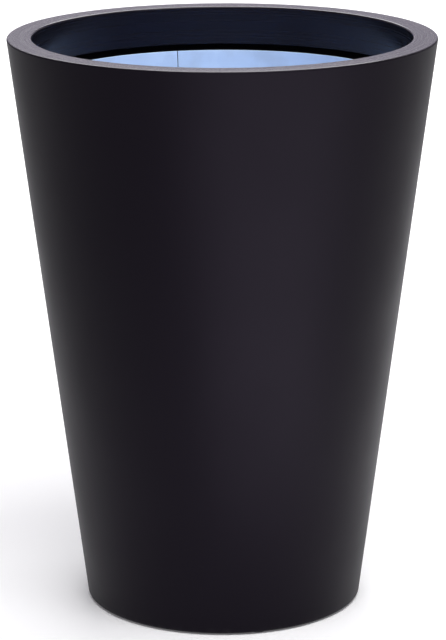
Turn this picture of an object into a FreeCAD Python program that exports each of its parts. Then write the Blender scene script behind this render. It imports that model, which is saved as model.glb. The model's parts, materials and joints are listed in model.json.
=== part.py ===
import FreeCAD, Part
import Sketcher
import os

# Sizes in millimetres, and counts. Each is written once, here, and reaches the model through the sheet.
sizes = {
    # cone
    "overall_height": 750,
    "top_diameter": 553,
    "base_diameter": 362,
    "shell_wall": 6,
    "base_edge_radius": 4,
    # floor of the cone: a flat foot ring round a raised middle
    "floor_thickness": 8,
    "floor_rise": 12,
    "floor_step_run": 14,
    "floor_corner_radius": 10,
    "foot_ring_width": 34,
    # rubber pads in the foot ring
    "pad_count": 4,
    "pad_diameter": 24,
    "pad_thickness": 4,
    "pad_standing": 2,
    "pad_edge_radius": 0.8,
    # rim collar
    "rim_width": 32,
    "rim_thickness": 6,
    "rim_edge_radius": 2,
    "skirt_depth": 52,
    "skirt_wall": 5,
    "skirt_edge_radius": 1.5,
    "spigot_depth": 14,
    "spigot_wall": 5,
    # liner of sheet metal
    "liner_drop": 58,
    "liner_depth": 300,
    "liner_sheet": 1,
    "liner_mouth_gap": 10,
    "hem_height": 10,
    "hem_edge_radius": 0.8,
    "seam_gap": 1.2,
    "seam_strip_width": 24,
    "seam_strip_inset": 3,
    "liner_floor_lift": 10,
    "liner_bend_radius": 1,
    "drain_hole_count": 8,
    "drain_hole_diameter": 9,
    "drain_hole_inset": 84,
    # ledge that carries the liner
    "ledge_thickness": 5,
    "ledge_bearing": 16,
    "ledge_lip": 6,
    "ledge_leg": 30,
    "ledge_gap": 3,
    # lift handles, their straps and rivets
    "handle_wire": 6,
    "handle_pivot_width": 60,
    "handle_grip_width": 96,
    "handle_drop": 74,
    "handle_bend_radius": 10,
    "handle_wall_gap": 1,
    "strap_depth": 32,
    "strap_width": 34,
    "strap_tab": 14,
    "strap_sheet": 1.5,
    "strap_bend_radius": 1.5,
    "tunnel_gap": 0.6,
    "rivet_shank": 4,
    "rivet_hole_gap": 0.3,
    "rivet_head": 8,
    "rivet_head_rise": 2.2,
    "rivet_dome_radius": 2,
    "rivet_tail": 7,
    "rivet_tail_rise": 1.2,
    # drain
    "drain_bore": 32,
    "bush_wall": 3,
    "bush_flange_width": 9,
    "bush_flange_thickness": 3,
    "bung_gap": 0.3,
    "bung_taper": 1,
    "bung_head_overlap": 6,
    "bung_head_thickness": 6,
    "bung_edge_radius": 2,
    "pull_loop_radius": 10,
    "pull_loop_thickness": 5,
    "pull_loop_sink": 1,
    # films of glue and solder
    "bond_gap": 0.3,
    "film_gap": 0.1,
}

doc = FreeCAD.newDocument("cone_planter")
sheet = doc.addObject("Spreadsheet::Sheet", "dim")
for row, (name, size) in enumerate(sizes.items(), start=1):
    sheet.set(f"A{row}", name)
    sheet.set(f"B{row}", str(size))
    sheet.setAlias(f"B{row}", name)
doc.recompute()


def value(expression):
    """The number that an expression on the sheet comes to."""
    number = sheet.evalExpression(expression)
    return float(getattr(number, "Value", number))


# Radii and heights that several pieces share, as expressions on the sheet.
taper = "((dim.top_diameter - dim.base_diameter) / (2 * dim.overall_height))"
wall_tilt = f"atan({taper})"
mouth_radius = "(dim.top_diameter / 2 - dim.rim_width)"
shell_base = "dim.pad_standing"
shell_top = "(dim.overall_height - dim.rim_thickness)"
floor_under = f"({shell_base} + dim.floor_rise)"
floor_top = f"({floor_under} + dim.floor_thickness)"
liner_top = "(dim.overall_height - dim.liner_drop)"
liner_base = f"({liner_top} - dim.liner_depth)"
hem_base = f"({liner_top} - dim.hem_height)"
liner_floor_top = f"({liner_base} + dim.liner_floor_lift)"
bush_radius = "(dim.drain_bore / 2 + dim.bush_wall)"
bush_top = f"({floor_top} + dim.bush_flange_thickness)"


def cone_radius(height):
    """Outside radius of the cone at a height above the floor."""
    return f"(dim.base_diameter / 2 + {taper} * {height})"


def shell_radius(height):
    """Inside radius of the shell's wall."""
    return f"({cone_radius(height)} - dim.shell_wall)"


def liner_radius(height):
    """Inside radius of the liner, whose wall runs parallel to the cone."""
    hem_radius = f"({mouth_radius} - dim.liner_mouth_gap)"
    return f"({hem_radius} - 2 * dim.liner_sheet - {taper} * ({liner_top} - {height}))"


pad_circle = f"({cone_radius(shell_base)} - dim.foot_ring_width / 2)"

# The lift handles hang from a pivot on the liner's wall, clear of its curve.
pivot_height = f"({liner_top} - dim.strap_depth)"
pivot_reach = "(dim.handle_pivot_width / 2 + dim.handle_wire / 2)"
grip_reach = "(dim.handle_grip_width / 2 + dim.handle_wire / 2)"
wire_standoff = "(dim.handle_wire / 2 + dim.handle_wall_gap)"
grip_wall = liner_radius(f"({pivot_height} - dim.handle_drop)")
pivot_radius = f"(sqrt(pow({liner_radius(pivot_height)}; 2) - pow({pivot_reach}; 2)) - {wire_standoff})"
grip_radius = f"(sqrt(pow({grip_wall}; 2) - pow({grip_reach}; 2)) - {wire_standoff})"
hang_angle = f"atan(({pivot_radius} - {grip_radius}) / dim.handle_drop)"
tunnel_half = "(dim.handle_wire / 2 + dim.tunnel_gap)"
rivet_rise = f"({tunnel_half} + dim.strap_sheet + dim.strap_tab / 2)"


def new_body(name):
    body = doc.addObject("PartDesign::Body", name)
    body.Label = name
    return body


def new_sketch(body, plane_role, height=None):
    """A sketch on one of the body's own planes, raised to a height if one is given."""
    sketch = body.newObject("Sketcher::SketchObject", body.Label + "_sketch")
    plane = next(item for item in body.Origin.OriginFeatures if item.Role == plane_role)
    sketch.AttachmentSupport = [(plane, "")]
    sketch.MapMode = "FlatFace"
    if height:
        sketch.setExpression("AttachmentOffset.Base.z", height)
    return sketch


def fix_point(sketch, item, end, across, up):
    """Hold one end of an item at two distances from the sketch's origin."""
    places = (("DistanceX", across, -2), ("DistanceY", up, -1))
    for kind, expression, axis in places:
        if expression == "0":
            sketch.addConstraint(Sketcher.Constraint("PointOnObject", item, end, axis))
            continue
        held = sketch.addConstraint(Sketcher.Constraint(kind, -1, 1, item, end, value(expression)))
        sketch.setExpression(f"Constraints[{held}]", expression)


def end_at(sketch, item, place):
    """Which end of an item, 1 or 2, lies at a place."""
    return min((1, 2), key=lambda end: sketch.getPoint(item, end).distanceToPoint(place))


def draw_outline(sketch, corners):
    """Close corners (across, up) into an outline; a third entry rounds that corner with a tangent arc."""
    places = [FreeCAD.Vector(value(corner[0]), value(corner[1]), 0) for corner in corners]
    count = len(corners)
    cuts = []
    for index, corner in enumerate(corners):
        if len(corner) == 2:
            cuts.append(0)
            continue
        back = places[index - 1] - places[index]
        ahead = places[(index + 1) % count] - places[index]
        cuts.append(value(f"{corner[2]} / tan({back.getAngle(ahead)} rad / 2)"))
    for index in range(count):
        follower = (index + 1) % count
        along = (places[follower] - places[index]).normalize()
        start = places[index] + along * cuts[index]
        sketch.addGeometry(Part.LineSegment(start, places[follower] - along * cuts[follower]))
    for index, corner in enumerate(corners):
        before = (index - 1) % count
        if len(corner) == 2:
            sketch.addConstraint(Sketcher.Constraint("Coincident", before, 2, index, 1))
            fix_point(sketch, index, 1, corner[0], corner[1])
            continue
        arc_start = sketch.getPoint(before, 2)
        arc_end = sketch.getPoint(index, 1)
        radius = value(corner[2])
        to_centre = (arc_start + arc_end) * 0.5 - places[index]
        reach = (radius ** 2 + cuts[index] ** 2) ** 0.5
        middle = places[index] + to_centre.normalize() * (reach - radius)
        arc = sketch.addGeometry(Part.Arc(arc_start, middle, arc_end))
        first = end_at(sketch, arc, arc_start)
        sketch.addConstraint(Sketcher.Constraint("Tangent", before, 2, arc, first))
        sketch.addConstraint(Sketcher.Constraint("Tangent", arc, 3 - first, index, 1))
        held = sketch.addConstraint(Sketcher.Constraint("Radius", arc, radius))
        sketch.setExpression(f"Constraints[{held}]", corner[2])
        point = sketch.addGeometry(Part.Point(places[index]), True)
        sketch.addConstraint(Sketcher.Constraint("PointOnObject", point, 1, before))
        sketch.addConstraint(Sketcher.Constraint("PointOnObject", point, 1, index))
        fix_point(sketch, point, 1, corner[0], corner[1])


def draw_circle(sketch, across, up, radius):
    centre = FreeCAD.Vector(value(across), value(up), 0)
    circle = sketch.addGeometry(Part.Circle(centre, FreeCAD.Vector(0, 0, 1), value(radius)))
    fix_point(sketch, circle, 3, across, up)
    held = sketch.addConstraint(Sketcher.Constraint("Radius", circle, value(radius)))
    sketch.setExpression(f"Constraints[{held}]", radius)


def revolve(body, sketch, angle=None):
    """Turn a sketch about its vertical axis, all round or by an angle shared to both sides."""
    turned = body.newObject("PartDesign::Revolution", body.Label + "_turned")
    turned.Profile = sketch
    turned.ReferenceAxis = (sketch, ["V_Axis"])
    turned.Angle = 360
    if angle:
        turned.Midplane = True
        turned.setExpression("Angle", angle)
    doc.recompute()
    return turned


def turned_body(name, corners, plane_role="XZ_Plane", angle=None):
    body = new_body(name)
    sketch = new_sketch(body, plane_role)
    draw_outline(sketch, corners)
    revolve(body, sketch, angle)
    return body


def pocket_through(body, sketch):
    """Cut a sketch right through the body on both sides of its plane."""
    pocket = body.newObject("PartDesign::Pocket", body.Label + "_holes")
    pocket.Profile = sketch
    pocket.Type = "ThroughAll"
    pocket.Midplane = True
    doc.recompute()
    return pocket


def repeat_round(body, feature, sketch, count):
    """Repeat a feature evenly round the sketch's normal axis."""
    ring = body.newObject("PartDesign::PolarPattern", body.Label + "_ring")
    ring.Originals = [feature]
    ring.Axis = (sketch, ["N_Axis"])
    ring.Angle = 360
    ring.setExpression("Occurrences", count)
    body.Tip = ring
    doc.recompute()


def place(body, base, turn=None):
    """Set a body at base (x, z), turned about an axis along Y."""
    if turn:
        body.Placement = FreeCAD.Placement(FreeCAD.Vector(), FreeCAD.Rotation(FreeCAD.Vector(0, 1, 0), 1))
        body.setExpression("Placement.Rotation.Angle", turn)
    body.setExpression("Placement.Base.x", base[0])
    body.setExpression("Placement.Base.z", base[1])


def build_outer_shell():
    foot_edge = f"({cone_radius(shell_base)} - dim.foot_ring_width)"
    rise_edge = f"({foot_edge} - dim.floor_step_run)"
    step_shift = "dim.floor_thickness * tan(atan(dim.floor_rise / dim.floor_step_run) / 2)"
    ring_top = f"({shell_base} + dim.floor_thickness)"
    hole_radius = f"({bush_radius} + dim.bond_gap)"
    body = turned_body("outer_shell", [
        (cone_radius(shell_base), shell_base, "dim.base_edge_radius"),
        (cone_radius(shell_top), shell_top),
        (shell_radius(shell_top), shell_top),
        (shell_radius(ring_top), ring_top, "dim.floor_corner_radius"),
        (f"({foot_edge} + {step_shift})", ring_top),
        (f"({rise_edge} + {step_shift})", floor_top),
        (hole_radius, floor_top),
        (hole_radius, floor_under),
        (rise_edge, floor_under),
        (foot_edge, shell_base),
    ])
    sketch = new_sketch(body, "XY_Plane", shell_base)
    draw_circle(sketch, pad_circle, "0", "(dim.pad_diameter / 2 + dim.bond_gap)")
    recess = body.newObject("PartDesign::Pocket", "pad_recess")
    recess.Profile = sketch
    recess.Reversed = True
    recess.setExpression("Length", "dim.pad_thickness - dim.pad_standing")
    doc.recompute()
    repeat_round(body, recess, sketch, "dim.pad_count")


def build_foot_pads():
    body = new_body("foot_pads")
    sketch = new_sketch(body, "XY_Plane")
    draw_circle(sketch, pad_circle, "0", "dim.pad_diameter / 2")
    pad = body.newObject("PartDesign::Pad", "pad_disc")
    pad.Profile = sketch
    pad.setExpression("Length", "dim.pad_thickness")
    doc.recompute()
    lower_edge = min(range(len(pad.Shape.Edges)), key=lambda index: pad.Shape.Edges[index].CenterOfMass.z)
    edge = body.newObject("PartDesign::Fillet", "pad_edge")
    edge.Base = (pad, [f"Edge{lower_edge + 1}"])
    edge.setExpression("Radius", "dim.pad_edge_radius")
    doc.recompute()
    ring = body.newObject("PartDesign::PolarPattern", "pad_ring")
    ring.TransformMode = "Whole shape"
    ring.Axis = (sketch, ["N_Axis"])
    ring.Angle = 360
    ring.setExpression("Occurrences", "dim.pad_count")
    body.Tip = ring
    doc.recompute()


def build_rim_collar():
    spigot_base = f"({shell_top} - dim.spigot_depth)"
    skirt_base = "(dim.overall_height - dim.skirt_depth)"
    skirt_back = f"({mouth_radius} + dim.skirt_wall)"
    turned_body("rim_collar", [
        (cone_radius("dim.overall_height"), "dim.overall_height", "dim.rim_edge_radius"),
        (cone_radius(shell_top), shell_top),
        (f"({shell_radius(shell_top)} - dim.bond_gap)", shell_top),
        (f"({shell_radius(spigot_base)} - dim.bond_gap)", spigot_base),
        (f"({shell_radius(spigot_base)} - dim.bond_gap - dim.spigot_wall)", spigot_base),
        (f"({shell_radius(shell_top)} - dim.bond_gap - dim.spigot_wall)", shell_top),
        (skirt_back, shell_top),
        (skirt_back, skirt_base, "dim.skirt_edge_radius"),
        (mouth_radius, skirt_base, "dim.skirt_edge_radius"),
        (mouth_radius, "dim.overall_height", "dim.rim_edge_radius"),
    ])


def build_liner_ledge():
    lip_top = f"({liner_base} + dim.ledge_lip)"
    lip_under = f"({lip_top} - dim.ledge_thickness)"
    leg_base = f"({lip_top} - dim.ledge_leg)"
    seat_under = f"({liner_base} - dim.ledge_thickness)"
    strip_radius = f"({liner_radius(lip_top)} + 2 * dim.liner_sheet + dim.film_gap)"
    lip_radius = f"({strip_radius} + dim.ledge_gap)"
    seat_edge = f"({liner_radius(liner_base)} - dim.ledge_bearing)"
    turned_body("liner_ledge", [
        (f"({shell_radius(lip_top)} - dim.bond_gap)", lip_top),
        (lip_radius, lip_top),
        (lip_radius, liner_base),
        (seat_edge, liner_base),
        (seat_edge, seat_under),
        (f"({lip_radius} + dim.ledge_thickness)", seat_under),
        (f"({lip_radius} + dim.ledge_thickness)", lip_under),
        (f"({shell_radius(lip_under)} - dim.bond_gap - dim.ledge_thickness)", lip_under),
        (f"({shell_radius(leg_base)} - dim.bond_gap - dim.ledge_thickness)", leg_base),
        (f"({shell_radius(leg_base)} - dim.bond_gap)", leg_base),
    ])


def build_liner_wall():
    """A sheet rolled to a cone; its edges meet at a fine gap on +Y, and its top is hemmed outwards."""
    gap_angle = f"2 * atan(dim.seam_gap / (2 * {liner_radius(liner_top)}))"
    body = turned_body("liner_wall", [
        (f"-{liner_radius(liner_base)}", liner_base),
        (f"-{liner_radius(liner_top)}", liner_top, "dim.hem_edge_radius"),
        (f"-({liner_radius(liner_top)} + 2 * dim.liner_sheet)", liner_top, "dim.hem_edge_radius"),
        (f"-({liner_radius(hem_base)} + 2 * dim.liner_sheet)", hem_base),
        (f"-({liner_radius(hem_base)} + dim.liner_sheet)", hem_base),
        (f"-({liner_radius(liner_base)} + dim.liner_sheet)", liner_base),
    ], "YZ_Plane", f"360 deg - {gap_angle}")
    cut_rivet_holes(body)


def cut_rivet_holes(body):
    sketch = new_sketch(body, "YZ_Plane")
    radius = "(dim.rivet_shank / 2 + dim.rivet_hole_gap)"
    draw_circle(sketch, "0", f"({pivot_height} + {rivet_rise})", radius)
    draw_circle(sketch, "0", f"({pivot_height} - {rivet_rise})", radius)
    pocket_through(body, sketch)


def build_liner_seam_strip():
    strip_base = f"({liner_base} + dim.seam_strip_inset)"
    strip_top = f"({hem_base} - dim.seam_strip_inset)"
    lap = "(dim.liner_sheet + dim.film_gap)"
    turned_body("liner_seam_strip", [
        (f"({liner_radius(strip_base)} + {lap})", strip_base),
        (f"({liner_radius(strip_top)} + {lap})", strip_top),
        (f"({liner_radius(strip_top)} + {lap} + dim.liner_sheet)", strip_top),
        (f"({liner_radius(strip_base)} + {lap} + dim.liner_sheet)", strip_base),
    ], "YZ_Plane", f"2 * atan(dim.seam_strip_width / (2 * {liner_radius(liner_top)}))")


def build_liner_floor():
    """A pan pushed up into the wall, with its flange turned down to the wall's lower edge."""
    pan_under = f"({liner_floor_top} - dim.liner_sheet)"
    outer_bend = "(dim.liner_bend_radius + dim.liner_sheet)"
    fit = "dim.film_gap"
    body = turned_body("liner_floor", [
        ("0", liner_floor_top),
        (f"({liner_radius(liner_floor_top)} - {fit})", liner_floor_top, outer_bend),
        (f"({liner_radius(liner_base)} - {fit})", liner_base),
        (f"({liner_radius(liner_base)} - {fit} - dim.liner_sheet)", liner_base),
        (f"({liner_radius(pan_under)} - {fit} - dim.liner_sheet)", pan_under, "dim.liner_bend_radius"),
        ("0", pan_under),
    ])
    circle_radius = f"({liner_radius(liner_base)} - dim.drain_hole_inset)"
    sketch = new_sketch(body, "XY_Plane")
    draw_circle(sketch, circle_radius, "0", "dim.drain_hole_diameter / 2")
    holes = pocket_through(body, sketch)
    repeat_round(body, holes, sketch, "dim.drain_hole_count")


def build_handle_strap(side, turn):
    """A strap bent over the handle's pivot bar, curved to the wall and riveted at both tabs."""
    def on_wall(height):
        return f"({liner_radius(height)} - dim.film_gap)"

    def height(rise):
        return f"({pivot_height} + {rise})"

    sheet_edge = f"({tunnel_half} + dim.strap_sheet)"
    tab_end = f"({sheet_edge} + dim.strap_tab)"
    tunnel_roof = f"({pivot_radius} - {tunnel_half})"
    outer_bend = "(dim.strap_bend_radius + dim.strap_sheet)"
    corners = [
        (on_wall(height(tunnel_half)), height(tunnel_half)),
        (on_wall(height(tab_end)), height(tab_end)),
        (f"({on_wall(height(tab_end))} - dim.strap_sheet)", height(tab_end)),
        (f"({on_wall(height(sheet_edge))} - dim.strap_sheet)", height(sheet_edge)),
        (f"({tunnel_roof} - dim.strap_sheet)", height(sheet_edge), outer_bend),
        (f"({tunnel_roof} - dim.strap_sheet)", height("-" + sheet_edge), outer_bend),
        (f"({on_wall(height('-' + sheet_edge))} - dim.strap_sheet)", height("-" + sheet_edge)),
        (f"({on_wall(height('-' + tab_end))} - dim.strap_sheet)", height("-" + tab_end)),
        (on_wall(height("-" + tab_end)), height("-" + tab_end)),
        (on_wall(height("-" + tunnel_half)), height("-" + tunnel_half)),
        (tunnel_roof, height("-" + tunnel_half), "dim.strap_bend_radius"),
        (tunnel_roof, height(tunnel_half), "dim.strap_bend_radius"),
    ]
    spread = f"2 * asin(dim.strap_width / (2 * {liner_radius(pivot_height)}))"
    body = turned_body(f"handle_strap_{side}", corners, "XZ_Plane", spread)
    cut_rivet_holes(body)
    body.Placement.Rotation = FreeCAD.Rotation(FreeCAD.Vector(0, 0, 1), turn)


def build_strap_rivets(side, sign):
    """Two rivets, square to the wall: domed heads inside, flat tails outside."""
    head_seat = "(2 * dim.film_gap + dim.strap_sheet)"
    head_top = f"({head_seat} + dim.rivet_head_rise)"
    tail_seat = "(dim.liner_sheet + dim.film_gap)"
    body = turned_body(f"strap_rivets_{side}", [
        ("0", f"-({tail_seat} + dim.rivet_tail_rise)"),
        ("dim.rivet_tail / 2", f"-({tail_seat} + dim.rivet_tail_rise)"),
        ("dim.rivet_tail / 2", f"-{tail_seat}"),
        ("dim.rivet_shank / 2", f"-{tail_seat}"),
        ("dim.rivet_shank / 2", head_seat),
        ("dim.rivet_head / 2", head_seat),
        ("dim.rivet_head / 2", head_top, "dim.rivet_dome_radius"),
        ("0", head_top),
    ])
    pair = body.newObject("PartDesign::LinearPattern", f"rivet_pair_{side}")
    pair.Originals = [body.Tip]
    pair.Direction = (body.Tip.Profile[0], ["H_Axis"])
    pair.Occurrences = 2
    pair.setExpression("Length", f"2 * {rivet_rise} / cos({wall_tilt})")
    body.Tip = pair
    first_height = f"({pivot_height} - {sign} * {rivet_rise})"
    place(body, (f"{sign} * {liner_radius(first_height)}", first_height), f"-{sign} * (90 deg - {wall_tilt})")


def build_lift_handle(side, sign):
    """A closed loop of wire: pivot bar above, wider grip below, drawn hanging in its own plane."""
    body = new_body(f"lift_handle_{side}")
    pivot_end = "dim.handle_pivot_width / 2"
    grip_end = "dim.handle_grip_width / 2"
    path = new_sketch(body, "YZ_Plane")
    draw_outline(path, [
        ("0", "0"),
        (f"-{pivot_end}", "0", "dim.handle_bend_radius"),
        (f"-{grip_end}", "-dim.handle_drop", "dim.handle_bend_radius"),
        (grip_end, "-dim.handle_drop", "dim.handle_bend_radius"),
        (pivot_end, "0", "dim.handle_bend_radius"),
    ])
    section = new_sketch(body, "XZ_Plane")
    draw_circle(section, "0", "0", "dim.handle_wire / 2")
    doc.recompute()
    wire = body.newObject("PartDesign::AdditivePipe", f"handle_wire_{side}")
    wire.Profile = section
    wire.Spine = path
    place(body, (f"{sign} * {pivot_radius}", pivot_height), f"{sign} * {hang_angle}")


def build_drain_bush():
    flange_radius = f"({bush_radius} + dim.bush_flange_width)"
    turned_body("drain_bush", [
        ("dim.drain_bore / 2", floor_under),
        ("dim.drain_bore / 2", bush_top),
        (flange_radius, bush_top),
        (flange_radius, floor_top),
        (bush_radius, floor_top),
        (bush_radius, floor_under),
    ])


def build_drain_bung():
    """A tapered rubber bung whose head covers the bush, with a loop moulded on top to pull it by."""
    shank_radius = "(dim.drain_bore / 2 - dim.bung_gap)"
    head_radius = "(dim.drain_bore / 2 + dim.bung_head_overlap)"
    head_base = f"({bush_top} + dim.film_gap)"
    head_top = f"({head_base} + dim.bung_head_thickness)"
    body = turned_body("drain_bung", [
        ("0", floor_under),
        (f"({shank_radius} - dim.bung_taper)", floor_under),
        (shank_radius, head_base),
        (head_radius, head_base),
        (head_radius, head_top, "dim.bung_edge_radius"),
        ("0", head_top),
    ])
    sketch = new_sketch(body, "XY_Plane", f"{head_top} - dim.pull_loop_sink")
    draw_circle(sketch, "dim.pull_loop_radius", "0", "dim.pull_loop_thickness / 2")
    loop = body.newObject("PartDesign::Revolution", "pull_loop")
    loop.Profile = sketch
    loop.ReferenceAxis = (sketch, ["V_Axis"])
    loop.Angle = 180
    loop.Reversed = True
    doc.recompute()


build_outer_shell()
build_foot_pads()
build_rim_collar()
build_liner_ledge()
build_liner_wall()
build_liner_seam_strip()
build_liner_floor()
for side, sign, turn in (("right", 1, 0), ("left", -1, 180)):
    build_handle_strap(side, turn)
    build_strap_rivets(side, sign)
    build_lift_handle(side, sign)
build_drain_bush()
build_drain_bung()
doc.recompute()

bodies = [item for item in doc.Objects if item.isDerivedFrom("PartDesign::Body")]
for item in doc.Objects:
    if "Invalid" in item.State or "Error" in item.State:
        raise RuntimeError(f"{item.Label} did not build")
    if item.TypeId == "PartDesign::Pocket" and item.Shape.Volume >= item.BaseFeature.Shape.Volume:
        raise RuntimeError(f"{item.Label} cuts nothing")
for body in bodies:
    if body.Shape.isNull() or not body.Shape.isValid():
        raise RuntimeError(f"{body.Label} has no valid shape")

os.makedirs("parts", exist_ok=True)
for body in bodies:
    body.Shape.exportStep(f"parts/{body.Label}.step")
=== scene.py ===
import json
import math

import bpy
from mathutils import Matrix, Vector


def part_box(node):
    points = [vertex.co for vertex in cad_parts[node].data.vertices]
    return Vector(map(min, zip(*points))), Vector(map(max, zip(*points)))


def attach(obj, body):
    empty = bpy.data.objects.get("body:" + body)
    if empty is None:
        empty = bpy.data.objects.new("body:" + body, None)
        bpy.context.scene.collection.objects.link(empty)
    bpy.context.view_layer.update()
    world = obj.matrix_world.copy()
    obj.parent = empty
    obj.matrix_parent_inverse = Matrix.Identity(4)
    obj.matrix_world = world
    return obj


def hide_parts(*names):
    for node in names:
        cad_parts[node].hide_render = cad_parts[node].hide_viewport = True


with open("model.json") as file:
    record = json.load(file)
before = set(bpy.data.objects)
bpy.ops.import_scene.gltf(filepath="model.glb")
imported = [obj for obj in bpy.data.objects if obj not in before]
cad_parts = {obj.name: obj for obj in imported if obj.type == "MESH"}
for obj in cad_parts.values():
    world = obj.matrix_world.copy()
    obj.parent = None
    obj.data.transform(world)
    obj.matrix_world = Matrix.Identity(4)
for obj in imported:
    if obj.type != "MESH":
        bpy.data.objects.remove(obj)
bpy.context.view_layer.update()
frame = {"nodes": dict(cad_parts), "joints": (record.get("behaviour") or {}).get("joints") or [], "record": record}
scene = bpy.context.scene
scene.view_settings.view_transform = "Standard"
print("frame loaded with", len(frame["nodes"]), "nodes")

# the photographer's place, fitted to the outlines in the photo (metres and degrees)
photoView = {
    "around": -15.2,  # so that the liner's seam sits left of the middle
    "distance": 3.734,
    "height": 1.352,
    "tiltDown": 14.7,
    "roll": -0.15,
    "lens": 165.2,  # millimetres, on a sensor of 36 mm
}


def studioPlace(around, distance, height):
    # a place round the planter, counted from the camera's side towards its right
    angle = math.radians(photoView["around"] + around)
    return Vector((distance * math.sin(angle), -distance * math.cos(angle), height))


def setCamera():
    lens = bpy.data.cameras.new("photoCamera")
    lens.lens = photoView["lens"]
    camera = bpy.data.objects.new("photoCamera", lens)
    aim = Matrix.Rotation(math.radians(photoView["around"]), 4, "Z")
    aim @= Matrix.Rotation(math.radians(90 - photoView["tiltDown"]), 4, "X")
    aim @= Matrix.Rotation(math.radians(photoView["roll"]), 4, "Z")
    place = studioPlace(0, photoView["distance"], photoView["height"])
    camera.matrix_world = Matrix.Translation(place) @ aim
    scene.collection.objects.link(camera)
    scene.camera = camera


setCamera()
print("camera set")


# nodes: sockets are wired, plain values are set
def put(tree, kind, wires=None, **settings):
    node = tree.nodes.new(kind)
    for name, setting in settings.items():
        setattr(node, name, setting)
    for key, source in (wires or {}).items():
        if isinstance(source, bpy.types.NodeSocket):
            tree.links.new(source, node.inputs[key])
        else:
            node.inputs[key].default_value = source
    return node


def work(tree, operation, first, second=0.0, third=0.0):
    wires = {0: first, 1: second, 2: third}
    return put(tree, "ShaderNodeMath", wires, operation=operation).outputs[0]


def vectorWork(tree, operation, wires):
    return put(tree, "ShaderNodeVectorMath", wires, operation=operation).outputs


def compare(tree, operation, first, second):
    wires = {0: first, 1: second}
    return put(tree, "FunctionNodeCompare", wires, operation=operation).outputs[0]


def parts(tree, vector):
    return put(tree, "ShaderNodeSeparateXYZ", {0: vector}).outputs


def joined(tree, wires):
    return put(tree, "ShaderNodeCombineXYZ", wires).outputs[0]


def flattened(tree, place):
    return vectorWork(tree, "MULTIPLY", {0: place, 1: (1, 1, 0)})[0]


def noiseMask(tree, wires):
    return put(tree, "ShaderNodeTexNoise", wires).outputs["Fac"]


def spread(tree, mask, low, high, start=0.0, end=1.0):
    # a mask from start to end becomes a value from low to high
    wires = {"Value": mask, "From Min": start, "From Max": end, "To Min": low, "To Max": high}
    return put(tree, "ShaderNodeMapRange", wires).outputs[0]


def fade(tree, value, start, end):
    # a value from start to end becomes a mask from 0 to 1
    return spread(tree, value, 0.0, 1.0, start, end)


# shader effects that several finishes share: named sizes go in, one mask or height comes out
def startGroup(name, sizes, result):
    group = bpy.data.node_groups.new(name, "ShaderNodeTree")
    for key in sizes:
        group.interface.new_socket(key, in_out="INPUT", socket_type="NodeSocketFloat")
    group.interface.new_socket(result, in_out="OUTPUT", socket_type="NodeSocketFloat")
    given = put(group, "NodeGroupInput").outputs
    return group, given, put(group, "ShaderNodeTexCoord").outputs["Object"]


def endGroup(group, result):
    put(group, "NodeGroupOutput", {0: result})
    return group


def turnedPlace(tree, place):
    # a place on a turned piece: flat part, radius and height
    flat = flattened(tree, place)
    radius = vectorWork(tree, "LENGTH", {0: flat})["Value"]
    return flat, radius, parts(tree, place)["Z"]


def facingUp(tree, start, end):
    normal = put(tree, "ShaderNodeNewGeometry").outputs["Normal"]
    return fade(tree, parts(tree, normal)["Z"], start, end)


def makeMottle():
    # cloudy unevenness, from about 0 to 1
    middle = 0.5
    group, given, place = startGroup("mottle", ["Scale", "Contrast"], "Mottle")
    clouds = noiseMask(group, {"Vector": place, "Scale": given["Scale"], "Detail": 5.0})
    centred = work(group, "SUBTRACT", clouds, middle)
    return endGroup(group, work(group, "MULTIPLY_ADD", centred, given["Contrast"], middle))


def makePeel():
    # the fine skin of a sprayed or moulded surface, as a height
    fineShare = 0.25
    group, given, place = startGroup("peel", ["Scale", "Grain"], "Height")
    skin = noiseMask(group, {"Vector": place, "Scale": given["Scale"], "Detail": 1.0})
    fineScale = work(group, "MULTIPLY", given["Scale"], given["Grain"])
    fine = noiseMask(group, {"Vector": place, "Scale": fineScale, "Detail": 2.0})
    return endGroup(group, work(group, "MULTIPLY_ADD", fine, fineShare, skin))


def makeStreaks():
    # fine lines round the axis: noise that is quick in height and radius and slow along the turn
    lineLevels = (0.3, 0.7)
    group, given, place = startGroup("streaks", ["Lines", "Drift"], "Streak")
    flat, radius, height = turnedPlace(group, place)
    depth = work(group, "MULTIPLY", work(group, "ADD", radius, height), given["Lines"])
    slow = vectorWork(group, "SCALE", {0: flat, "Scale": given["Drift"]})[0]
    spot = vectorWork(group, "ADD", {0: slow, 1: joined(group, {"Z": depth})})[0]
    lines = noiseMask(group, {"Vector": spot, "Scale": 1.0, "Detail": 3.0})
    return endGroup(group, fade(group, lines, *lineLevels))


def makeEdgeRub():
    # patchy rubbing near a round edge, given by its radius and height
    patchLevels = (0.5, 0.72)
    sizes = ["Radius", "Height", "Reach", "Patches"]
    group, given, place = startGroup("edgeRub", sizes, "Rub")
    radius, height = turnedPlace(group, place)[1:]
    out = work(group, "SUBTRACT", radius, given["Radius"])
    up = work(group, "SUBTRACT", height, given["Height"])
    far = vectorWork(group, "LENGTH", {0: joined(group, {"X": out, "Y": up})})["Value"]
    near = spread(group, far, 1.0, 0.0, 0.0, given["Reach"])
    patches = noiseMask(group, {"Vector": place, "Scale": given["Patches"], "Detail": 6.0})
    return endGroup(group, work(group, "MULTIPLY", near, fade(group, patches, *patchLevels)))


def makeDust():
    # dust that settles on what faces up
    speckLevels, upLevels = (0.45, 0.75), (0.3, 0.95)
    group, given, place = startGroup("dust", ["Scale", "Cover"], "Dust")
    specks = noiseMask(group, {
        "Vector": place, "Scale": given["Scale"], "Detail": 8.0, "Roughness": 0.7})
    cover = work(group, "MULTIPLY", fade(group, specks, *speckLevels), given["Cover"])
    return endGroup(group, work(group, "MULTIPLY", facingUp(group, *upLevels), cover))


mottle, peel, streaks = makeMottle(), makePeel(), makeStreaks()
edgeRub, dust = makeEdgeRub(), makeDust()


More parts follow.
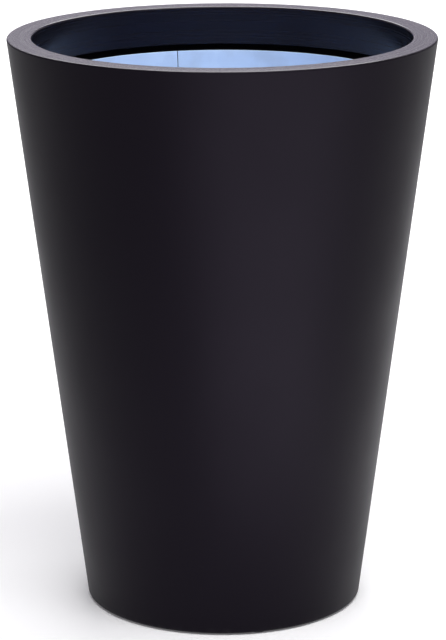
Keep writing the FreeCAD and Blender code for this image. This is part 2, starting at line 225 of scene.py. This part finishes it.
def effect(tree, group, values):
    return put(tree, "ShaderNodeGroup", values, node_tree=group).outputs[0]


def tint(tree, mask, plain, changed):
    # goes from one colour to another by a mask; colours are the node's sockets 6 and 7
    wires = {"Factor": mask, 6: plain, 7: changed}
    return put(tree, "ShaderNodeMix", wires, data_type="RGBA").outputs[2]


def bump(tree, height, strength, distance):
    wires = {"Height": height, "Strength": strength, "Distance": distance}
    return put(tree, "ShaderNodeBump", wires).outputs[0]


def startFinish(name, plain):
    # what is the same all over goes straight on the shader's own sockets
    finish = bpy.data.materials.new(name)
    finish.use_nodes = True
    shader = finish.node_tree.nodes["Principled BSDF"]
    for key, value in plain.items():
        shader.inputs[key].default_value = value
    return finish, finish.node_tree, shader


def wire(tree, shader, sources):
    for key, source in sources.items():
        tree.links.new(source, shader.inputs[key])


# sprayed black on the cone and on the rim, with a faintly violet gloss
# (rough is the range of roughness, and a bump is its strength and depth)
violetGloss = (0.84, 0.71, 1.0, 1)
rubbedBlack = (0.016, 0.015, 0.017, 1)
houseDust = (0.12, 0.115, 0.115, 1)
bodyLook = {
    "black": (0.0028, 0.0021, 0.0036, 1),
    "rough": (0.43, 0.51),
    "plain": {
        "Specular IOR Level": 0.11,
        "Specular Tint": violetGloss,
        "Coat Weight": 0.02,
        "Coat Roughness": 0.35,
    },
    "cloud": {"Scale": 7.0, "Contrast": 2.4},
    "footRub": {"Radius": 0.1805, "Height": 0.002, "Reach": 0.012, "Patches": 90.0},
    "dust": {"Scale": 120.0, "Cover": 0.35},
    "skin": {"Scale": 260.0, "Grain": 5.0},
    "skinBump": (0.04, 0.0004),
}


def makeBodyLacquer():
    look = bodyLook
    finish, tree, shader = startFinish("bodyLacquer", look["plain"])
    cloud = effect(tree, mottle, look["cloud"])
    foot = effect(tree, edgeRub, look["footRub"])
    settled = effect(tree, dust, look["dust"])
    skin = effect(tree, peel, look["skin"])
    colour = tint(tree, foot, look["black"], rubbedBlack)
    wire(tree, shader, {
        "Base Color": tint(tree, settled, colour, houseDust),
        "Roughness": spread(tree, cloud, *look["rough"]),
        "Normal": bump(tree, skin, *look["skinBump"])})
    return finish


rimLook = {
    "black": (0.004, 0.0034, 0.0056, 1),
    "rough": (0.2, 0.3),
    "coat": (0.8, 1.0),
    "skirtShare": 0.32,  # of the coat: the skirt is polished less than the top
    "topLevels": (0.5, 0.95),  # how far up a face looks where the top begins and is full
    "plain": {
        "Specular IOR Level": 0.15,
        "Specular Tint": violetGloss,
        "Coat Roughness": 0.18,
    },
    "lines": {"Lines": 420.0, "Drift": 2.0},
    "edgeRub": {"Radius": 0.2755, "Height": 0.7495, "Reach": 0.0035, "Patches": 70.0},
    "dust": {"Scale": 320.0, "Cover": 0.06},
    "lineBump": (0.05, 0.0003),
}


def makeRimLacquer():
    look = rimLook
    finish, tree, shader = startFinish("rimLacquer", look["plain"])
    lines = effect(tree, streaks, look["lines"])
    outer = effect(tree, edgeRub, look["edgeRub"])
    settled = effect(tree, dust, look["dust"])
    colour = tint(tree, outer, look["black"], rubbedBlack)
    share = spread(tree, facingUp(tree, *look["topLevels"]), look["skirtShare"], 1.0)
    wire(tree, shader, {
        "Base Color": tint(tree, settled, colour, houseDust),
        "Roughness": spread(tree, lines, *look["rough"]),
        "Coat Weight": work(tree, "MULTIPLY", spread(tree, lines, *look["coat"]), share),
        "Normal": bump(tree, lines, *look["lineBump"])})
    return finish


# galvanised sheet of the liner
zinc = {
    "pale": (0.52, 0.67, 0.89, 1),
    "deep": (0.46, 0.605, 0.83, 1),
    "dull": (0.35, 0.44, 0.57, 1),
    # painted shade for the open seam
    "seamShade": (0.012, 0.012, 0.013, 1),
    "rough": (0.48, 0.64),
    "plain": {"Metallic": 0.2},
    "spangleScale": 70.0,
    "lineShare": 0.55,  # of the pattern, and spangle is the rest
    "lines": {"Lines": 180.0, "Drift": 4.0},
    "cloud": {"Scale": 14.0, "Contrast": 3.0},
    "stain": (0.0, 0.35),  # least and most dulling
    "stainLevels": (0.62, 1.0),  # of the cloud
    "seamShadeHalfWidth": (0.0006, 0.0016),  # painted shade in the open seam, on the strip behind it
    "lineBump": (0.06, 0.0004),
}


def makeZincSheet(name, seam=False):
    finish, tree, shader = startFinish(name, zinc["plain"])
    place = put(tree, "ShaderNodeTexCoord").outputs["Object"]
    cells = put(tree, "ShaderNodeTexVoronoi", {"Vector": place, "Scale": zinc["spangleScale"]})
    spangle = put(tree, "ShaderNodeSeparateColor", {0: cells.outputs["Color"]}).outputs[0]
    lines = effect(tree, streaks, zinc["lines"])
    mix = {"Factor": zinc["lineShare"], "A": spangle, "B": lines}
    blend = put(tree, "ShaderNodeMix", mix).outputs[0]
    cloud = effect(tree, mottle, zinc["cloud"])
    stain = spread(tree, cloud, *zinc["stain"], *zinc["stainLevels"])
    colour = tint(tree, stain, tint(tree, blend, zinc["deep"], zinc["pale"]), zinc["dull"])
    # the strip shows through the open seam and is darkened along its middle as painted shade
    if seam:
        side = work(tree, "ABSOLUTE", parts(tree, place)["X"])
        gapShade = spread(tree, side, 1.0, 0.0, *zinc["seamShadeHalfWidth"])
        colour = tint(tree, gapShade, colour, zinc["seamShade"])
    wire(tree, shader, {
        "Base Color": colour,
        "Roughness": spread(tree, blend, *zinc["rough"]),
        "Normal": bump(tree, lines, *zinc["lineBump"])})
    return finish


# bare inside of the cone: resin over chopped strands, near black as painted shade where it shows between the skirt
# and the liner
laminate = {
    "shadeDarkResin": (0.005, 0.005, 0.006, 1),
    "strand": (0.016, 0.016, 0.018, 1),
    "dusty": (0.1, 0.095, 0.09, 1),
    "rough": (0.55, 0.75),
    "plain": {"Specular IOR Level": 0.12, "Coat Weight": 0.02, "Coat Roughness": 0.3},
    "strandLeans": (0.3, 1.4, 2.3),
    "strandScale": (40, 40, 420),
    "strandLevels": (0.52, 0.72),
    "dust": {"Scale": 110.0, "Cover": 0.4},
    "strandBump": (0.35, 0.0006),
}


def makeRawLaminate():
    finish, tree, shader = startFinish("rawLaminate", laminate["plain"])
    place = put(tree, "ShaderNodeTexCoord").outputs["Object"]
    strands = 0.0
    for lean in laminate["strandLeans"]:
        turned = (lean, 2 * lean, lean)
        laid = {"Vector": place, "Rotation": turned, "Scale": laminate["strandScale"]}
        spot = put(tree, "ShaderNodeMapping", laid).outputs[0]
        layer = noiseMask(tree, {"Vector": spot, "Scale": 1.0, "Detail": 2.0, "Distortion": 0.6})
        strands = work(tree, "MAXIMUM", strands, layer)
    fibre = fade(tree, strands, *laminate["strandLevels"])
    settled = effect(tree, dust, laminate["dust"])
    # the near-black resin colour is painted shade
    colour = tint(tree, fibre, laminate["shadeDarkResin"], laminate["strand"])
    wire(tree, shader, {
        "Base Color": tint(tree, settled, colour, laminate["dusty"]),
        "Roughness": spread(tree, fibre, *laminate["rough"]),
        "Normal": bump(tree, fibre, *laminate["strandBump"])})
    return finish


# rubber and nylon: a fine moulded skin, a little grey where it is handled
moulded = {
    "plain": {"Specular IOR Level": 0.4},
    "cloud": {"Scale": 30.0, "Contrast": 3.0},
    "dust": {"Scale": 160.0, "Cover": 0.5},
    "skinBump": (0.2, 0.0003),
    "rubber": {
        "black": (0.012, 0.012, 0.012, 1),
        "worn": (0.03, 0.03, 0.031, 1),
        "rough": (0.6, 0.8),
        "skin": {"Scale": 500.0, "Grain": 3.0},
    },
    "nylon": {
        "black": (0.02, 0.02, 0.021, 1),
        "worn": (0.032, 0.032, 0.034, 1),
        "rough": (0.38, 0.55),
        "skin": {"Scale": 900.0, "Grain": 3.0},
    },
}


def makeMoulded(name):
    look = moulded[name]
    finish, tree, shader = startFinish(name, moulded["plain"])
    cloud = effect(tree, mottle, moulded["cloud"])
    settled = effect(tree, dust, moulded["dust"])
    skin = effect(tree, peel, look["skin"])
    colour = tint(tree, cloud, look["black"], look["worn"])
    wire(tree, shader, {
        "Base Color": tint(tree, settled, colour, houseDust),
        "Roughness": spread(tree, cloud, *look["rough"]),
        "Normal": bump(tree, skin, *moulded["skinBump"])})
    return finish


# zinc plate on wire and rivets, with dull patches
plated = {
    "plain": {"Metallic": 1.0},
    "cloud": {"Scale": 90.0, "Contrast": 2.2},
    "skin": {"Scale": 700.0, "Grain": 3.0},
    "skinBump": (0.06, 0.0002),
    "handleWire": {
        "bright": (0.62, 0.65, 0.68, 1),
        "dull": (0.4, 0.42, 0.45, 1),
        "rough": (0.22, 0.48),
    },
    "rivetSteel": {
        "bright": (0.66, 0.68, 0.7, 1),
        "dull": (0.46, 0.47, 0.5, 1),
        "rough": (0.2, 0.42),
    },
}


def makePlated(name):
    look = plated[name]
    finish, tree, shader = startFinish(name, plated["plain"])
    cloud = effect(tree, mottle, plated["cloud"])
    skin = effect(tree, peel, plated["skin"])
    wire(tree, shader, {
        "Base Color": tint(tree, cloud, look["bright"], look["dull"]),
        "Roughness": spread(tree, cloud, *look["rough"]),
        "Normal": bump(tree, skin, *plated["skinBump"])})
    return finish


finishes = {
    "bodyLacquer": makeBodyLacquer(),
    "rimLacquer": makeRimLacquer(),
    "zincSheet": makeZincSheet("zincSheet"),
    "zincStrip": makeZincSheet("zincStrip", seam=True),
    "rawLaminate": makeRawLaminate(),
    "rubber": makeMoulded("rubber"),
    "nylon": makeMoulded("nylon"),
    "handleWire": makePlated("handleWire"),
    "rivetSteel": makePlated("rivetSteel"),
}
print("finishes made:", ", ".join(finishes))

crispAngle = math.radians(35)  # corners that turn more than this stay crisp
weldDistance = 0.00001


# geometry trees: each size of a piece is a named input
def startTree(name, sizes):
    tree = bpy.data.node_groups.new(name, "GeometryNodeTree")
    tree.is_modifier = True
    for key, size in sizes.items():
        kind = "NodeSocketInt" if isinstance(size, int) else "NodeSocketFloat"
        tree.interface.new_socket(key, in_out="INPUT", socket_type=kind)
    tree.interface.new_socket("finish", in_out="INPUT", socket_type="NodeSocketMaterial")
    tree.interface.new_socket("Geometry", in_out="OUTPUT", socket_type="NodeSocketGeometry")
    return tree, put(tree, "NodeGroupInput").outputs


def reckon(tree, given, text):
    # "topRadius - wall" becomes a chain of Math nodes on the inputs
    words = text.split()
    total = given[words[0]]
    for sign, name in zip(words[1::2], words[2::2]):
        total = work(tree, {"+": "ADD", "-": "SUBTRACT"}[sign], total, given[name])
    return total


def rounded(tree, given, curve, radius):
    wires = {"Curve": curve, "Count": given["roundSteps"], "Radius": radius}
    return put(tree, "GeometryNodeFilletCurve", wires, mode="POLY").outputs[0]


def outline(tree, given, corners, closed=True):
    # corners are (radius, height) or (radius, height, rounding)
    # and go anticlockwise with the axis on the left
    index = put(tree, "GeometryNodeInputIndex").outputs[0]
    places = put(tree, "GeometryNodeIndexSwitch", {"Index": index}, data_type="VECTOR")
    rounds = put(tree, "GeometryNodeIndexSwitch", {"Index": index}, data_type="FLOAT")
    for switch in (places, rounds):
        while len(switch.index_switch_items) < len(corners):
            switch.index_switch_items.new()
    for number, corner in enumerate(corners):
        across, up, *rounding = [reckon(tree, given, text) for text in corner]
        spot = joined(tree, {"X": across, "Y": up})
        tree.links.new(spot, places.inputs[str(number)])
        if rounding:
            tree.links.new(rounding[0], rounds.inputs[str(number)])
    dots = put(tree, "GeometryNodePoints", {"Count": len(corners), "Position": places.outputs[0]})
    line = put(tree, "GeometryNodePointsToCurves", {"Points": dots.outputs[0]})
    loop = put(tree, "GeometryNodeSetSplineCyclic", {"Geometry": line.outputs[0], "Cyclic": closed})
    return rounded(tree, given, loop.outputs[0], rounds.outputs[0])


def turn(tree, given, curve, start=0.0, sweep=-math.tau, capped=False):
    # draws the outline out along a straight spine, then bends the spine round the axis,
    # clockwise from above
    spine = put(tree, "GeometryNodeCurvePrimitiveLine", {"End": (0, 0, 1)})
    count = work(tree, "ADD", given["segments"], 1.0)
    steps = put(tree, "GeometryNodeResampleCurve", {"Curve": spine.outputs[0], "Count": count})
    drawn = put(tree, "GeometryNodeCurveToMesh", {
        "Curve": steps.outputs[0], "Profile Curve": curve, "Fill Caps": capped})
    split = parts(tree, put(tree, "GeometryNodeInputPosition").outputs[0])
    angle = work(tree, "MULTIPLY_ADD", split["Z"], sweep, start)
    bent = joined(tree, {
        "X": work(tree, "MULTIPLY", split["X"], work(tree, "COSINE", angle)),
        "Y": work(tree, "MULTIPLY", split["X"], work(tree, "SINE", angle)),
        "Z": split["Y"]})
    ring = put(tree, "GeometryNodeSetPosition", {"Geometry": drawn.outputs[0], "Position": bent})
    closed = put(tree, "GeometryNodeMergeByDistance", {
        "Geometry": ring.outputs[0], "Distance": weldDistance})
    # painted here too, so that instances leave no empty slot
    painted = {"Geometry": closed.outputs[0], "Material": given["finish"]}
    return put(tree, "GeometryNodeSetMaterial", painted).outputs[0]


def facingOut(tree):
    # how squarely a face looks away from the axis, times its radius
    place = put(tree, "GeometryNodeInputPosition").outputs[0]
    normal = put(tree, "GeometryNodeInputNormal").outputs[0]
    flat = flattened(tree, place)
    return vectorWork(tree, "DOT_PRODUCT", {0: flat, 1: normal})["Value"], normal


def endTree(tree, given, shape, other=None):
    # smooth faces, crisp corners, real geometry and its finish, with another finish on some faces
    angle = put(tree, "GeometryNodeInputMeshEdgeAngle").outputs["Unsigned Angle"]
    crisp = compare(tree, "GREATER_THAN", angle, crispAngle)
    smooth = put(tree, "GeometryNodeSetShadeSmooth", {"Geometry": shape})
    corners = {"Geometry": smooth.outputs[0], "Selection": crisp, "Shade Smooth": False}
    edged = put(tree, "GeometryNodeSetShadeSmooth", corners, domain="EDGE")
    real = put(tree, "GeometryNodeRealizeInstances", {"Geometry": edged.outputs[0]})
    painted = put(tree, "GeometryNodeSetMaterial", {
        "Geometry": real.outputs[0], "Material": given["finish"]})
    if other:
        selection, finish = other
        painted = put(tree, "GeometryNodeSetMaterial", {
            "Geometry": painted.outputs[0], "Selection": selection, "Material": finish})
    put(tree, "NodeGroupOutput", {"Geometry": painted.outputs[0]})


def growPiece(name, tree, sizes, finish, body, slot, *nodes):
    piece = bpy.data.objects.new(name, bpy.data.meshes.new(name))
    scene.collection.objects.link(piece)
    build = piece.modifiers.new("build", "NODES")
    build.node_group = tree
    values = dict(sizes, finish=finish)
    for socket in tree.interface.items_tree:
        if socket.in_out == "INPUT":
            build[socket.identifier] = values[socket.name]
    even = piece.modifiers.new("evenNormals", "WEIGHTED_NORMAL")
    even.keep_sharp = True
    grown = piece.evaluated_get(bpy.context.evaluated_depsgraph_get())
    mesh = bpy.data.meshes.new_from_object(grown)
    piece.modifiers.clear()
    piece.data = mesh
    mesh.name = name
    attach(piece, body)
    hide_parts(*nodes)
    print("piece", name, "with", len(mesh.polygons), "faces")


# the cone's straight side gives most radii
cone = {"height": 0.75, "topRadius": 0.2765, "baseRadius": 0.181}
taper = (cone["topRadius"] - cone["baseRadius"]) / cone["height"]
wallLean = math.atan(taper)


def coneRadius(height):
    return cone["baseRadius"] + taper * height


def makeOuterShell():
    low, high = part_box("outer_shell")
    ringTop = 0.010
    stepRun, stepRise, floorThick = 0.014, 0.012, 0.008
    shell = {
        "footRadius": coneRadius(low.z),
        "footHeight": low.z,
        "footRound": 0.004,
        "seatRadius": coneRadius(high.z),
        "seatHeight": high.z,
        "wall": 0.006,
        "ringRadius": coneRadius(ringTop),
        "ringTop": ringTop,
        "ringWidth": 0.034,
        "cornerRound": 0.010,
        "stepRun": stepRun,
        "stepShift": floorThick * math.tan(math.atan(stepRise / stepRun) / 2),
        "floorUnder": low.z + stepRise,
        "floorTop": low.z + stepRise + floorThick,
        "drainRadius": 0.0193,
        "segments": 256,
        "roundSteps": 6,
    }
    tree, given = startTree("outerShell", shell)
    curve = outline(tree, given, [
        ("footRadius", "footHeight", "footRound"),
        ("seatRadius", "seatHeight"),
        ("seatRadius - wall", "seatHeight"),
        ("ringRadius - wall", "ringTop", "cornerRound"),
        ("footRadius - ringWidth + stepShift", "ringTop"),
        ("footRadius - ringWidth - stepRun + stepShift", "floorTop"),
        ("drainRadius", "floorTop"),
        ("drainRadius", "floorUnder"),
        ("footRadius - ringWidth - stepRun", "floorUnder"),
        ("footRadius - ringWidth", "footHeight"),
    ])
    shape = turn(tree, given, curve)
    # whatever faces the axis, or up from the floor, is bare laminate
    upFacing = 0.9
    facing, normal = facingOut(tree)
    inwards = compare(tree, "LESS_THAN", facing, 0.0)
    upwards = compare(tree, "GREATER_THAN", parts(tree, normal)["Z"], upFacing)
    either = {0: inwards, 1: upwards}
    inside = put(tree, "FunctionNodeBooleanMath", either, operation="OR").outputs[0]
    endTree(tree, given, shape, (inside, finishes["rawLaminate"]))
    growPiece("outerShell", tree, shell, finishes["bodyLacquer"],
              "planter", "black_lacquer", "outer_shell")


def makeRimCollar():
    low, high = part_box("rim_collar")
    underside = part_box("outer_shell")[1].z
    spigotDepth = 0.014
    rim = {
        "edgeRadius": coneRadius(high.z),
        "topHeight": high.z,
        "edgeRound": 0.0023,
        "seatRadius": coneRadius(underside),
        "seatHeight": underside,
        "shellWall": 0.0063,  # with the gap for the bond
        "spigotRadius": coneRadius(underside - spigotDepth),
        "spigotDepth": spigotDepth,
        "spigotWall": 0.005,
        "mouthRadius": 0.2445,
        "skirtWall": 0.005,
        "skirtBase": low.z,
        "skirtRound": 0.0015,
        "segments": 320,
        "roundSteps": 8,
    }
    tree, given = startTree("rimCollar", rim)
    curve = outline(tree, given, [
        ("mouthRadius", "skirtBase", "skirtRound"),
        ("mouthRadius + skirtWall", "skirtBase", "skirtRound"),
        ("mouthRadius + skirtWall", "seatHeight"),
        ("seatRadius - shellWall - spigotWall", "seatHeight"),
        ("spigotRadius - shellWall - spigotWall", "seatHeight - spigotDepth"),
        ("spigotRadius - shellWall", "seatHeight - spigotDepth"),
        ("seatRadius - shellWall", "seatHeight"),
        ("seatRadius", "seatHeight"),
        ("edgeRadius", "topHeight", "edgeRound"),
        ("mouthRadius", "topHeight", "edgeRound"),
    ])
    shape = turn(tree, given, curve)
    # its outer side is sprayed with the cone
    outFacing = 0.15
    outer = compare(tree, "GREATER_THAN", facingOut(tree)[0], outFacing)
    endTree(tree, given, shape, (outer, finishes["bodyLacquer"]))
    growPiece("rimCollar", tree, rim, finishes["rimLacquer"],
              "planter", "black_lacquer", "rim_collar")


# the liner's wall leans as the cone does
linerLow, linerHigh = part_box("liner_wall")
linerMouth = 0.2325


def linerRadius(height):
    return linerMouth - taper * (linerHigh.z - height)


def makeLinerWall():
    seamGap, hemHeight = 0.0012, 0.010
    gapAngle = 2 * math.atan(seamGap / 2 / linerMouth)
    wall = {
        "topRadius": linerMouth,
        "topHeight": linerHigh.z,
        "baseRadius": linerRadius(linerLow.z),
        "baseHeight": linerLow.z,
        "sheet": 0.001,
        "hemHeight": hemHeight,
        "hemLean": taper * hemHeight,
        "edgeRound": 0.0008,
        "seamStart": math.pi / 2 - gapAngle / 2,
        "seamSweep": gapAngle - math.tau,
        "segments": 288,
        "roundSteps": 4,
    }
    tree, given = startTree("linerWall", wall)
    curve = outline(tree, given, [
        ("baseRadius", "baseHeight"),
        ("baseRadius + sheet", "baseHeight"),
        ("topRadius + sheet - hemLean", "topHeight - hemHeight"),
        ("topRadius + sheet + sheet - hemLean", "topHeight - hemHeight"),
        ("topRadius + sheet + sheet", "topHeight", "edgeRound"),
        ("topRadius", "topHeight", "edgeRound"),
    ])
    shape = turn(tree, given, curve, given["seamStart"], given["seamSweep"], capped=True)
    endTree(tree, given, shape)
    growPiece("linerWall", tree, wall, finishes["zincSheet"], "liner", "zinc_sheet", "liner_wall")


def makeFootPads():
    circle = frame["record"]["mounts"][0]["pos_m"][0]  # the floor mount lies under one pad
    pads = {
        "count": 4,
        "circle": circle,
        "padRadius": 0.012,
        "thickness": 0.004,
        "edgeRound": 0.0008,
        "dishRadius": 0.006,
        "dishDepth": 0.0008,
        "axis": 0.0,
        "segments": 40,
        "roundSteps": 4,
    }
    tree, given = startTree("footPads", pads)
    pad = turn(tree, given, outline(tree, given, [
        ("axis", "dishDepth"),
        ("dishRadius", "dishDepth"),
        ("dishRadius + dishDepth", "axis"),
        ("padRadius", "axis", "edgeRound"),
        ("padRadius", "thickness"),
        ("axis", "thickness"),
    ], closed=False))
    spots = put(tree, "GeometryNodeMeshCircle", {
        "Vertices": given["count"], "Radius": given["circle"]})
    ring = put(tree, "GeometryNodeInstanceOnPoints", {"Points": spots.outputs[0], "Instance": pad})
    real = put(tree, "GeometryNodeRealizeInstances", {0: ring.outputs[0]})
    endTree(tree, given, real.outputs[0])
    growPiece("footPads", tree, pads, finishes["rubber"], "planter", "rubber", "foot_pads")


hinges = {joint["child"]: Vector(joint["pos_m"])
          for joint in frame["joints"] if joint["type"] == "hinge"}


def makeStrapRivets():
    pivot = hinges["handle_right"]
    rise = 0.0121  # from the pivot to each rivet
    rivets = {
        "perStrap": 2,
        "headRadius": 0.004,
        "headSeat": 0.0017,
        "headTop": 0.0039,
        "domeRound": 0.002,
        "shankRadius": 0.002,
        "tailRadius": 0.0035,
        "tailSeat": -0.0011,
        "tailEnd": -0.0023,
        "axis": 0.0,
        "lowRadius": linerRadius(pivot.z - rise),
        "lowHeight": pivot.z - rise,
        "stepOut": 2 * rise * taper,
        "stepUp": 2 * rise,
        "lean": wallLean - math.pi / 2,
        "segments": 32,
        "roundSteps": 6,
    }
    tree, given = startTree("strapRivets", rivets)
    rivet = turn(tree, given, outline(tree, given, [
        ("axis", "tailEnd"),
        ("tailRadius", "tailEnd"),
        ("tailRadius", "tailSeat"),
        ("shankRadius", "tailSeat"),
        ("shankRadius", "headSeat"),
        ("headRadius", "headSeat"),
        ("headRadius", "headTop", "domeRound"),
        ("axis", "headTop"),
    ], closed=False))
    low = joined(tree, {"X": given["lowRadius"], "Z": given["lowHeight"]})
    step = joined(tree, {"X": given["stepOut"], "Z": given["stepUp"]})
    spots = put(tree, "GeometryNodeMeshLine", {
        "Count": given["perStrap"], "Start Location": low, "Offset": step})
    lean = joined(tree, {"Y": given["lean"]})
    pair = put(tree, "GeometryNodeInstanceOnPoints", {
        "Points": spots.outputs[0], "Instance": rivet, "Rotation": lean})
    real = put(tree, "GeometryNodeRealizeInstances", {0: pair.outputs[0]}).outputs[0]
    # the other strap is half a turn away
    across = put(tree, "GeometryNodeTransform", {"Geometry": real, "Rotation": (0, 0, math.pi)})
    both = put(tree, "GeometryNodeJoinGeometry", {0: real})
    tree.links.new(across.outputs[0], both.inputs[0])
    endTree(tree, given, both.outputs[0])
    growPiece("strapRivets", tree, rivets, finishes["rivetSteel"], "liner", "rivet_steel",
              "strap_rivets_left", "strap_rivets_right")


def makeLiftHandle(side, sign):
    pivot = hinges["handle_" + side]
    node = "lift_handle_" + side
    wireThick, drop = 0.006, 0.074
    inner = min(abs(corner.x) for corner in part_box(node)) + wireThick / 2
    handle = {
        "pivotWidth": 0.060,
        "gripWidth": 0.096,
        "drop": drop,
        "halfDrop": -drop / 2,
        "bend": 0.010,
        "wireRadius": wireThick / 2,
        "hang": sign * math.asin((abs(pivot.x) - inner) / drop),
        "pivotOut": pivot.x,
        "pivotUp": pivot.z,
        "segments": 24,
        "roundSteps": 10,
    }
    tree, given = startTree("liftHandle" + side.capitalize(), handle)
    loop = put(tree, "GeometryNodeCurvePrimitiveQuadrilateral", {
        "Height": given["drop"], "Bottom Width": given["gripWidth"],
        "Top Width": given["pivotWidth"], "Offset": 0.0}, mode="TRAPEZOID")
    soft = rounded(tree, given, loop.outputs[0], given["bend"])
    section = put(tree, "GeometryNodeCurvePrimitiveCircle", {
        "Resolution": given["segments"], "Radius": given["wireRadius"]})
    drawn = put(tree, "GeometryNodeCurveToMesh", {
        "Curve": soft, "Profile Curve": section.outputs[0]})
    # the pivot bar to the origin, upright, then hanging from the pivot
    down = joined(tree, {"Y": given["halfDrop"]})
    hung = put(tree, "GeometryNodeTransform", {"Geometry": drawn.outputs[0], "Translation": down})
    upright = put(tree, "GeometryNodeTransform", {
        "Geometry": hung.outputs[0], "Rotation": (math.pi / 2, 0, math.pi / 2)})
    swing = joined(tree, {"Y": given["hang"]})
    spot = joined(tree, {"X": given["pivotOut"], "Z": given["pivotUp"]})
    placed = put(tree, "GeometryNodeTransform", {
        "Geometry": upright.outputs[0], "Rotation": swing, "Translation": spot})
    endTree(tree, given, placed.outputs[0])
    growPiece("liftHandle" + side.capitalize(), tree, handle, finishes["handleWire"],
              "handle_" + side, "handle_wire", node)


makeOuterShell()
makeRimCollar()
makeLinerWall()
makeFootPads()
makeStrapRivets()
makeLiftHandle("left", -1)
makeLiftHandle("right", 1)

# pieces whose CAD shape already says it all
keptNodes = {
    "liner_ledge": "rawLaminate",
    "drain_bush": "nylon",
    "drain_bung": "rubber",
    "liner_floor": "zincSheet",
    "liner_seam_strip": "zincStrip",
    "handle_strap_left": "zincSheet",
    "handle_strap_right": "zincSheet",
}
for node, finish in keptNodes.items():
    frame["nodes"][node].material_slots[0].material = finishes[finish]
print("kept nodes finished:", len(keptNodes))

# studio: a pale floor, whitest in a wide soft oval behind the planter
studio = {
    "floorReach": 40.0,
    "paleGrey": (0.5, 0.5, 0.5, 1),
    "white": (0.95, 0.95, 0.95, 1),
    "ovalBehind": 2.8,  # from the planter to the oval's middle
    "ovalHalfWidth": 1.5,
    "ovalHalfLength": 4.1,
    "ovalFade": (1.08, 0.76),  # shares of the oval where white begins and is full
    "glow": (0.1, 0.5),  # beside the planter and far off
    "glowFrom": (1.5, 4.5),  # distances from the planter where the glow grows and is full
    "worldColour": (0.89, 0.82, 1.0, 1),
    # how strong the sky is at each sine of the angle above the horizon
    "sky": ((0.0, 0.85), (0.14, 0.38), (0.6, 0.16)),
}
# two boards low in front that throw light up, and soft panels high in front and behind:
# where each hangs and points (degrees round from the camera, distance, height), size and power
lamps = {
    "bounceNear": ((25, 0.74, 0.03), (25, 0.705, 1.03), (0.85, 0.52), 2.7),
    "bounceFar": ((26, 1.9, 0.1), (26, 1.83, 1.1), (2.5, 1.8), 30),
    "highPanel": ((20, 1.4, 3.3), (0, 0, 0.6), (3.0, 2.6), 128),
    "topPanel": ((180, 3.2, 2.8), (180, 3.2, 0), (2.0, 5.2), 112),
}


def makeFloor():
    reach = studio["floorReach"]
    corners = [(-reach, -reach, 0), (reach, -reach, 0), (reach, reach, 0), (-reach, reach, 0)]
    mesh = bpy.data.meshes.new("studioFloor")
    mesh.from_pydata(corners, [], [(0, 1, 2, 3)])
    floor = bpy.data.objects.new("studioFloor", mesh)
    scene.collection.objects.link(floor)
    finish, tree, shader = startFinish("studioFloor", {
        "Roughness": 0.9, "Specular IOR Level": 0.0, "Emission Color": (1, 1, 1, 1)})
    place = put(tree, "ShaderNodeTexCoord").outputs["Object"]
    # the oval lies straight behind the planter from the photographer's place
    squared = {"Vector": place, "Rotation": (0, 0, math.radians(-photoView["around"]))}
    split = parts(tree, put(tree, "ShaderNodeMapping", squared).outputs[0])
    across = work(tree, "DIVIDE", split["X"], studio["ovalHalfWidth"])
    behind = work(tree, "SUBTRACT", split["Y"], studio["ovalBehind"])
    along = work(tree, "DIVIDE", behind, studio["ovalHalfLength"])
    share = vectorWork(tree, "LENGTH", {0: joined(tree, {"X": across, "Y": along})})["Value"]
    begins, full = studio["ovalFade"]
    fading = {"Value": share, "From Min": begins, "From Max": full}
    white = put(tree, "ShaderNodeMapRange", fading, interpolation_type="SMOOTHSTEP").outputs[0]
    # a glow for whoever sees the floor or its reflection, strongest far off where no lamp reaches
    seen = put(tree, "ShaderNodeLightPath").outputs
    direct = work(tree, "MAXIMUM", seen["Is Camera Ray"], seen["Is Glossy Ray"])
    shown = work(tree, "MAXIMUM", direct, seen["Is Transmission Ray"])
    away = vectorWork(tree, "LENGTH", {0: place})["Value"]
    glow = spread(tree, away, *studio["glow"], *studio["glowFrom"])
    wire(tree, shader, {
        "Base Color": tint(tree, white, studio["paleGrey"], studio["white"]),
        "Emission Strength": work(tree, "MULTIPLY", shown, glow)})
    mesh.materials.append(finish)


def makeWorld():
    # brighter towards the horizon than overhead
    world = bpy.data.worlds.new("studioWorld")
    world.use_nodes = True
    tree = world.node_tree
    up = parts(tree, put(tree, "ShaderNodeTexCoord").outputs["Generated"])["Z"]
    (level, horizon), (haze, low), (above, overhead) = studio["sky"]
    light = work(tree, "ADD", spread(tree, up, horizon - low, 0.0, level, haze),
                 spread(tree, up, low, overhead, haze, above))
    sky = tree.nodes["Background"]
    sky.inputs["Color"].default_value = studio["worldColour"]
    tree.links.new(light, sky.inputs["Strength"])
    scene.world = world


def makeLamps():
    for name, (hangs, points, size, power) in lamps.items():
        panel = bpy.data.lights.new(name, "AREA")
        panel.shape = "RECTANGLE"
        panel.size, panel.size_y = size
        panel.energy = power
        lamp = bpy.data.objects.new(name, panel)
        lamp.location = studioPlace(*hangs)
        aim = studioPlace(*points) - lamp.location
        lamp.rotation_euler = aim.to_track_quat("-Z", "Y").to_euler()
        lamp.visible_camera = False
        scene.collection.objects.link(lamp)


makeFloor()
makeWorld()
makeLamps()
print("studio set with", len(lamps), "lamps")
